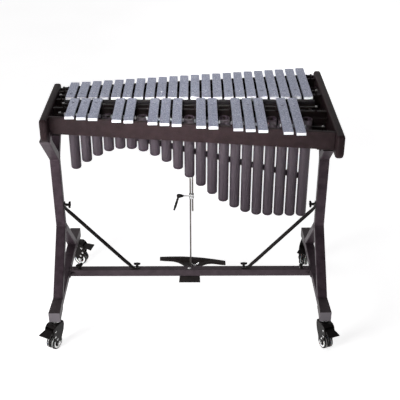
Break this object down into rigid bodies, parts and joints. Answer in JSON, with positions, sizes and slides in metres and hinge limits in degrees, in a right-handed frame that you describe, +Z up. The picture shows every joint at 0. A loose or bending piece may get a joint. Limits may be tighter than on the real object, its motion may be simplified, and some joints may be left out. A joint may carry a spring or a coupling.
{
  "type": "vibraphone",
  "caption": "Wheeled vibraphone: two rows of aluminium bars on cords, resonator tubes, damper with foot pedal, welded end frames with a braced crossbar and braked twin-wheel casters.",
  "frame": {"origin": "on the floor, under the middle of the bounding box", "axes": "+X along the rows towards the longest, lowest bars; -Y towards the audience, the side of the accidentals and the arched tubes; +Y towards the player and the pedal; +Z up"},
  "size_m": [1.216, 0.7336, 0.972],
  "materials": {
    "bar_silver": "satin anodised silver-blue",
    "board_plum": "satin dark plum paint",
    "stand_black": "fine-textured powder coat, plum black",
    "resonator_grey": "satin dark grey coating",
    "black_plastic": "moulded black",
    "tyre_black": "black tyre",
    "bright_steel": "bright zinc plate",
    "felt_black": "wool felt",
    "pedal_black": "cast and painted black",
    "insulator_grey": "moulded light grey, for the cord insulators of the visual model",
    "ring_grey": "light grey wheel rings and treads of the visual model",
    "suspension_cord": "braided cord of the visual model"
  },
  "bodies": {
    "frame": {"accidental_bars": "bar_silver", "accidental_far_bar_rail": "stand_black", "accidental_near_bar_rail": "stand_black", "accidental_resonator_bank": "resonator_grey", "accidental_resonator_strap": "stand_black", "crossbar": "stand_black", "far_left_foot_block": "stand_black", "far_right_foot_block": "stand_black", "front_rail": "board_plum", "left_brace": "stand_black", "left_damper_guide": "stand_black", "left_damper_spring": "bright_steel", "left_end_board": "board_plum", "left_resonator_ledge": "stand_black", "left_side_frame": "stand_black", "natural_bars": "bar_silver", "natural_far_bar_rail": "stand_black", "natural_near_bar_rail": "stand_black", "natural_resonator_bank": "resonator_grey", "near_left_foot_block": "stand_black", "near_right_foot_block": "stand_black", "pedal_bracket": "stand_black", "pedal_hinge_pin": "bright_steel", "rear_rail": "board_plum", "right_brace": "stand_black", "right_damper_guide": "stand_black", "right_damper_spring": "bright_steel", "right_end_board": "board_plum", "right_resonator_ledge": "stand_black", "right_side_frame": "stand_black"},
    "damper": {"damper_bar": "stand_black", "damper_felt": "felt_black", "upper_damper_rod": "bright_steel", "lower_damper_rod": "bright_steel", "rod_clamp": "bright_steel"},
    "clamp_lever": {"clamp_lever": "black_plastic"},
    "pedal": {"pedal": "pedal_black"},
    "left_column_knob": {"left_column_knob": "black_plastic"},
    "left_brace_knob": {"left_brace_knob": "black_plastic"},
    "left_crossbar_knob": {"left_crossbar_knob": "black_plastic"},
    "right_column_knob": {"right_column_knob": "black_plastic"},
    "right_brace_knob": {"right_brace_knob": "black_plastic"},
    "right_crossbar_knob": {"right_crossbar_knob": "black_plastic"},
    "near_left_caster": {"near_left_caster_fork": "black_plastic", "near_left_caster_axle": "bright_steel"},
    "near_left_wheels": {"near_left_caster_wheels": "tyre_black"},
    "near_left_brake": {"near_left_brake_pedal": "black_plastic"},
    "far_left_caster": {"far_left_caster_fork": "black_plastic", "far_left_caster_axle": "bright_steel"},
    "far_left_wheels": {"far_left_caster_wheels": "tyre_black"},
    "far_left_brake": {"far_left_brake_pedal": "black_plastic"},
    "near_right_caster": {"near_right_caster_fork": "black_plastic", "near_right_caster_axle": "bright_steel"},
    "near_right_wheels": {"near_right_caster_wheels": "tyre_black"},
    "near_right_brake": {"near_right_brake_pedal": "black_plastic"},
    "far_right_caster": {"far_right_caster_fork": "black_plastic", "far_right_caster_axle": "bright_steel"},
    "far_right_wheels": {"far_right_caster_wheels": "tyre_black"},
    "far_right_brake": {"far_right_brake_pedal": "black_plastic"}
  },
  "joints": [
    {"name": "pedal_hinge", "type": "hinge", "parent": "frame", "child": "pedal", "pos_m": [-0.00059, 0.04987, 0.118], "axis": [1, 0, 0], "range_deg": [-15, 0]},
    {"name": "damper_slide", "type": "slide", "parent": "frame", "child": "damper", "axis": [0, 0, 1], "range_m": [-0.0085, 0], "stiffness_N_per_m": 1500, "springref_m": 0.04, "deforming": ["left_damper_spring", "right_damper_spring"]},
    {"name": "clamp_lever_turn", "type": "hinge", "parent": "damper", "child": "clamp_lever", "pos_m": [-0.04259, 0.05328, 0.517], "axis": [1, 0, 0], "range_deg": [-60, 60]},
    {"name": "left_column_knob_turn", "type": "hinge", "parent": "frame", "child": "left_column_knob", "pos_m": [-0.52099, 0.02987, 0.489], "axis": [1, 0, 0], "continuous": true},
    {"name": "left_brace_knob_turn", "type": "hinge", "parent": "frame", "child": "left_brace_knob", "pos_m": [-0.23059, 0.02987, 0.1726], "axis": [0, 0, 1], "continuous": true},
    {"name": "left_crossbar_knob_turn", "type": "hinge", "parent": "frame", "child": "left_crossbar_knob", "pos_m": [-0.48459, 0.02987, 0.1683], "axis": [0, 0, 1], "continuous": true},
    {"name": "right_column_knob_turn", "type": "hinge", "parent": "frame", "child": "right_column_knob", "pos_m": [0.52781, 0.02987, 0.489], "axis": [-1, 0, 0], "continuous": true},
    {"name": "right_brace_knob_turn", "type": "hinge", "parent": "frame", "child": "right_brace_knob", "pos_m": [0.23741, 0.02987, 0.1726], "axis": [0, 0, 1], "continuous": true},
    {"name": "right_crossbar_knob_turn", "type": "hinge", "parent": "frame", "child": "right_crossbar_knob", "pos_m": [0.49141, 0.02987, 0.1683], "axis": [0, 0, 1], "continuous": true},
    {"name": "near_left_swivel", "type": "hinge", "parent": "frame", "child": "near_left_caster", "pos_m": [-0.54559, -0.27913, 0.118], "axis": [0, 0, 1], "continuous": true},
    {"name": "near_left_wheel_spin", "type": "hinge", "parent": "near_left_caster", "child": "near_left_wheels", "pos_m": [-0.55686, -0.30032, 0.03], "axis": [0.8829, -0.4695, 0], "continuous": true},
    {"name": "near_left_brake_tilt", "type": "hinge", "parent": "near_left_caster", "child": "near_left_brake", "pos_m": [-0.56249, -0.31092, 0.094], "axis": [0.8829, -0.4695, 0], "range_deg": [0, 12]},
    {"name": "far_left_swivel", "type": "hinge", "parent": "frame", "child": "far_left_caster", "pos_m": [-0.54559, 0.33887, 0.118], "axis": [0, 0, 1], "continuous": true},
    {"name": "far_left_wheel_spin", "type": "hinge", "parent": "far_left_caster", "child": "far_left_wheels", "pos_m": [-0.5223, 0.33306, 0.03], "axis": [0.2419, 0.9703, 0], "continuous": true},
    {"name": "far_left_brake_tilt", "type": "hinge", "parent": "far_left_caster", "child": "far_left_brake", "pos_m": [-0.51066, 0.33016, 0.094], "axis": [0.2419, 0.9703, 0], "range_deg": [0, 12]},
    {"name": "near_right_swivel", "type": "hinge", "parent": "frame", "child": "near_right_caster", "pos_m": [0.55241, -0.27913, 0.118], "axis": [0, 0, 1], "continuous": true},
    {"name": "near_right_wheel_spin", "type": "hinge", "parent": "near_right_caster", "child": "near_right_wheels", "pos_m": [0.5614, -0.30138, 0.03], "axis": [0.9272, 0.3746, 0], "continuous": true},
    {"name": "near_right_brake_tilt", "type": "hinge", "parent": "near_right_caster", "child": "near_right_brake", "pos_m": [0.5659, -0.31251, 0.094], "axis": [0.9272, 0.3746, 0], "range_deg": [0, 12]},
    {"name": "far_right_swivel", "type": "hinge", "parent": "frame", "child": "far_right_caster", "pos_m": [0.55241, 0.33887, 0.118], "axis": [0, 0, 1], "continuous": true},
    {"name": "far_right_wheel_spin", "type": "hinge", "parent": "far_right_caster", "child": "far_right_wheels", "pos_m": [0.54499, 0.31605, 0.03], "axis": [0.9511, -0.309, 0], "continuous": true},
    {"name": "far_right_brake_tilt", "type": "hinge", "parent": "far_right_caster", "child": "far_right_brake", "pos_m": [0.54128, 0.30463, 0.094], "axis": [0.9511, -0.309, 0], "range_deg": [0, 12]}
  ],
  "couplings": [
    {"joint": "damper_slide", "follows": "pedal_hinge", "m_per_rad": 0.03134}
  ]
}
